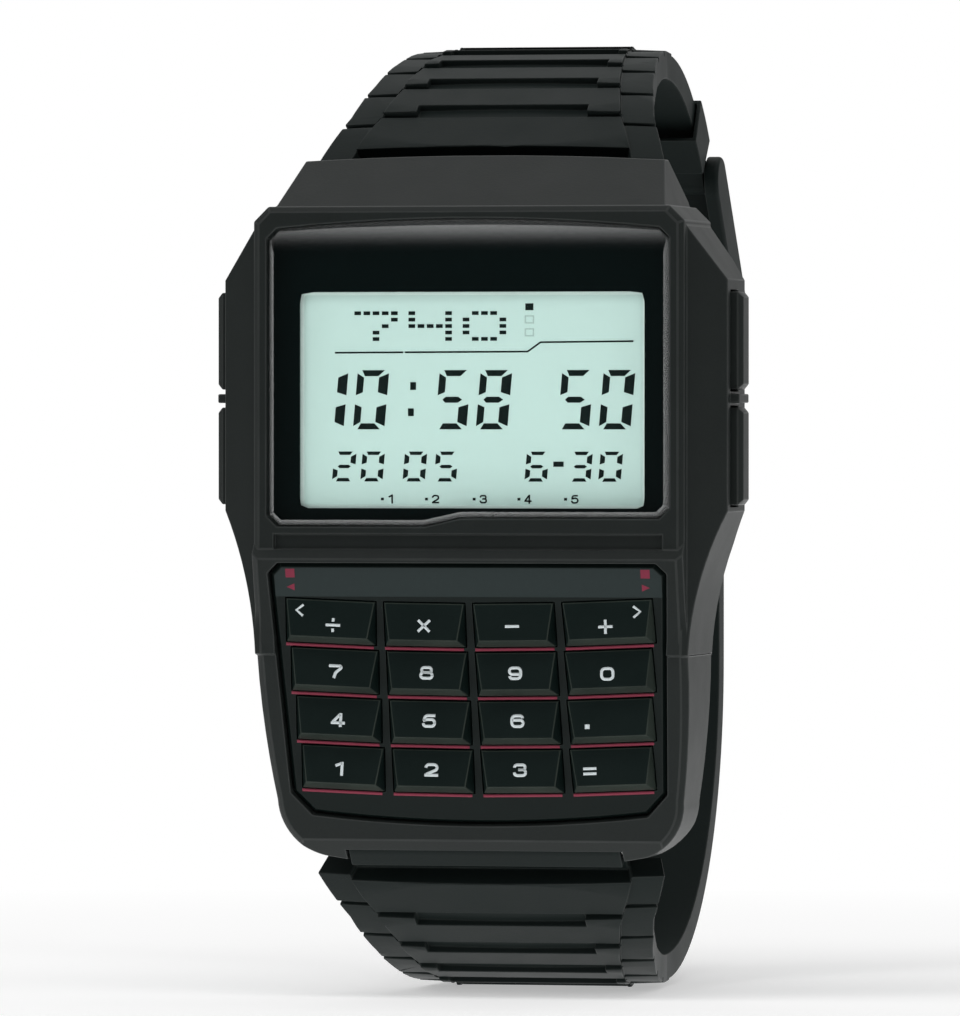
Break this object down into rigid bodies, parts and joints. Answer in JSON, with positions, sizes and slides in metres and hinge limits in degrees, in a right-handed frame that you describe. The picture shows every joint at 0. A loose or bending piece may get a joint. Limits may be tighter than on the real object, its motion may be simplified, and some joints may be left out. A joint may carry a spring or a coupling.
{
  "type": "calculator watch",
  "caption": "Buckled digital calculator watch: tilted keypad of wedge keys under an arched glass, side pushers, stepped resin strap, tang buckle and keeper.",
  "frame": {"origin": "middle of the caseback's outer face", "axes": "+X to three o'clock, +Z to twelve o'clock, +Y out of the caseback towards the wrist"},
  "size_m": [0.036, 0.052, 0.0647],
  "materials": {
    "case_resin": "fine grained black resin",
    "panel_resin": "satin black",
    "key_resin": "satin black",
    "strap_resin": "soft black resin",
    "mineral_glass": "polished, black border behind",
    "display_glass": "pale mint display",
    "backlight": "white light guide",
    "seal": "moulded rubber",
    "board": "green solder mask",
    "black_plastic": "moulded",
    "plated_can": "plated",
    "brass": "plain",
    "steel": "brushed"
  },
  "bodies": {
    "watch": {"case": "case_resin", "glass": "mineral_glass", "glass_gasket": "seal", "keypad_panel": "panel_resin", "key_mat": "seal", "key_contact_board": "board", "pusher_seals": "seal", "lcd_panel": "display_glass", "light_panel": "backlight", "zebra_connectors": "seal", "circuit_board": "board", "control_chip": "black_plastic", "quartz_crystal": "plated_can", "module_frame": "black_plastic", "coin_cell": "steel", "battery_clip": "steel", "clip_screws": "steel", "switch_springs": "steel", "module_cushion": "seal", "caseback": "steel", "caseback_gasket": "seal", "caseback_screws": "steel", "buzzer_disc": "brass", "strap_upper": "strap_resin", "strap_lower": "strap_resin", "lug_bars": "steel", "buckle_bar": "steel", "pusher_spring_upper_left": "steel", "pusher_spring_lower_left": "steel", "pusher_spring_upper_right": "steel", "pusher_spring_lower_right": "steel"},
    "key_divide": {"key_divide": "key_resin"},
    "key_multiply": {"key_multiply": "key_resin"},
    "key_minus": {"key_minus": "key_resin"},
    "key_plus": {"key_plus": "key_resin"},
    "key_7": {"key_7": "key_resin"},
    "key_8": {"key_8": "key_resin"},
    "key_9": {"key_9": "key_resin"},
    "key_0": {"key_0": "key_resin"},
    "key_4": {"key_4": "key_resin"},
    "key_5": {"key_5": "key_resin"},
    "key_6": {"key_6": "key_resin"},
    "key_point": {"key_point": "key_resin"},
    "key_1": {"key_1": "key_resin"},
    "key_2": {"key_2": "key_resin"},
    "key_3": {"key_3": "key_resin"},
    "key_equals": {"key_equals": "key_resin"},
    "pusher_upper_left": {"pusher_upper_left": "case_resin", "pusher_clip_upper_left": "steel"},
    "pusher_lower_left": {"pusher_lower_left": "case_resin", "pusher_clip_lower_left": "steel"},
    "pusher_upper_right": {"pusher_upper_right": "case_resin", "pusher_clip_upper_right": "steel"},
    "pusher_lower_right": {"pusher_lower_right": "case_resin", "pusher_clip_lower_right": "steel"},
    "buckle_frame": {"buckle_frame": "strap_resin"},
    "buckle_tang": {"buckle_tang": "steel"},
    "keeper_loop": {"keeper_loop": "strap_resin"}
  },
  "joints": [
    {"name": "key_divide_press", "type": "slide", "parent": "watch", "child": "key_divide", "axis": [0, 0.9659, 0.2588], "range_m": [0, 0.0004], "stiffness_N_per_m": 400, "springref_m": -0.0003, "deforming": ["key_mat"]},
    {"name": "key_multiply_press", "type": "slide", "parent": "watch", "child": "key_multiply", "axis": [0, 0.9659, 0.2588], "range_m": [0, 0.0004], "stiffness_N_per_m": 400, "springref_m": -0.0003, "deforming": ["key_mat"]},
    {"name": "key_minus_press", "type": "slide", "parent": "watch", "child": "key_minus", "axis": [0, 0.9659, 0.2588], "range_m": [0, 0.0004], "stiffness_N_per_m": 400, "springref_m": -0.0003, "deforming": ["key_mat"]},
    {"name": "key_plus_press", "type": "slide", "parent": "watch", "child": "key_plus", "axis": [0, 0.9659, 0.2588], "range_m": [0, 0.0004], "stiffness_N_per_m": 400, "springref_m": -0.0003, "deforming": ["key_mat"]},
    {"name": "key_7_press", "type": "slide", "parent": "watch", "child": "key_7", "axis": [0, 0.9659, 0.2588], "range_m": [0, 0.0004], "stiffness_N_per_m": 400, "springref_m": -0.0003, "deforming": ["key_mat"]},
    {"name": "key_8_press", "type": "slide", "parent": "watch", "child": "key_8", "axis": [0, 0.9659, 0.2588], "range_m": [0, 0.0004], "stiffness_N_per_m": 400, "springref_m": -0.0003, "deforming": ["key_mat"]},
    {"name": "key_9_press", "type": "slide", "parent": "watch", "child": "key_9", "axis": [0, 0.9659, 0.2588], "range_m": [0, 0.0004], "stiffness_N_per_m": 400, "springref_m": -0.0003, "deforming": ["key_mat"]},
    {"name": "key_0_press", "type": "slide", "parent": "watch", "child": "key_0", "axis": [0, 0.9659, 0.2588], "range_m": [0, 0.0004], "stiffness_N_per_m": 400, "springref_m": -0.0003, "deforming": ["key_mat"]},
    {"name": "key_4_press", "type": "slide", "parent": "watch", "child": "key_4", "axis": [0, 0.9659, 0.2588], "range_m": [0, 0.0004], "stiffness_N_per_m": 400, "springref_m": -0.0003, "deforming": ["key_mat"]},
    {"name": "key_5_press", "type": "slide", "parent": "watch", "child": "key_5", "axis": [0, 0.9659, 0.2588], "range_m": [0, 0.0004], "stiffness_N_per_m": 400, "springref_m": -0.0003, "deforming": ["key_mat"]},
    {"name": "key_6_press", "type": "slide", "parent": "watch", "child": "key_6", "axis": [0, 0.9659, 0.2588], "range_m": [0, 0.0004], "stiffness_N_per_m": 400, "springref_m": -0.0003, "deforming": ["key_mat"]},
    {"name": "key_point_press", "type": "slide", "parent": "watch", "child": "key_point", "axis": [0, 0.9659, 0.2588], "range_m": [0, 0.0004], "stiffness_N_per_m": 400, "springref_m": -0.0003, "deforming": ["key_mat"]},
    {"name": "key_1_press", "type": "slide", "parent": "watch", "child": "key_1", "axis": [0, 0.9659, 0.2588], "range_m": [0, 0.0004], "stiffness_N_per_m": 400, "springref_m": -0.0003, "deforming": ["key_mat"]},
    {"name": "key_2_press", "type": "slide", "parent": "watch", "child": "key_2", "axis": [0, 0.9659, 0.2588], "range_m": [0, 0.0004], "stiffness_N_per_m": 400, "springref_m": -0.0003, "deforming": ["key_mat"]},
    {"name": "key_3_press", "type": "slide", "parent": "watch", "child": "key_3", "axis": [0, 0.9659, 0.2588], "range_m": [0, 0.0004], "stiffness_N_per_m": 400, "springref_m": -0.0003, "deforming": ["key_mat"]},
    {"name": "key_equals_press", "type": "slide", "parent": "watch", "child": "key_equals", "axis": [0, 0.9659, 0.2588], "range_m": [0, 0.0004], "stiffness_N_per_m": 400, "springref_m": -0.0003, "deforming": ["key_mat"]},
    {"name": "pusher_upper_left_press", "type": "slide", "parent": "watch", "child": "pusher_upper_left", "axis": [1, 0, 0], "range_m": [0, 0.0007], "stiffness_N_per_m": 700, "springref_m": -0.0005, "deforming": ["pusher_spring_upper_left"]},
    {"name": "pusher_lower_left_press", "type": "slide", "parent": "watch", "child": "pusher_lower_left", "axis": [1, 0, 0], "range_m": [0, 0.0007], "stiffness_N_per_m": 700, "springref_m": -0.0005, "deforming": ["pusher_spring_lower_left"]},
    {"name": "pusher_upper_right_press", "type": "slide", "parent": "watch", "child": "pusher_upper_right", "axis": [-1, 0, 0], "range_m": [0, 0.0007], "stiffness_N_per_m": 700, "springref_m": -0.0005, "deforming": ["pusher_spring_upper_right"]},
    {"name": "pusher_lower_right_press", "type": "slide", "parent": "watch", "child": "pusher_lower_right", "axis": [-1, 0, 0], "range_m": [0, 0.0007], "stiffness_N_per_m": 700, "springref_m": -0.0005, "deforming": ["pusher_spring_lower_right"]},
    {"name": "buckle_hinge", "type": "hinge", "parent": "watch", "child": "buckle_frame", "pos_m": [0, 0.03124, 0.02341], "axis": [1, 0, 0], "range_deg": [0, 1]},
    {"name": "tang_hinge", "type": "hinge", "parent": "buckle_frame", "child": "buckle_tang", "pos_m": [0, 0.03124, 0.02341], "axis": [1, 0, 0], "range_deg": [0, 2]},
    {"name": "keeper_slide", "type": "hinge", "parent": "watch", "child": "keeper_loop", "pos_m": [0, 0.0165, 0.0129], "axis": [1, 0, 0], "range_deg": [-1.5, 18]}
  ]
}
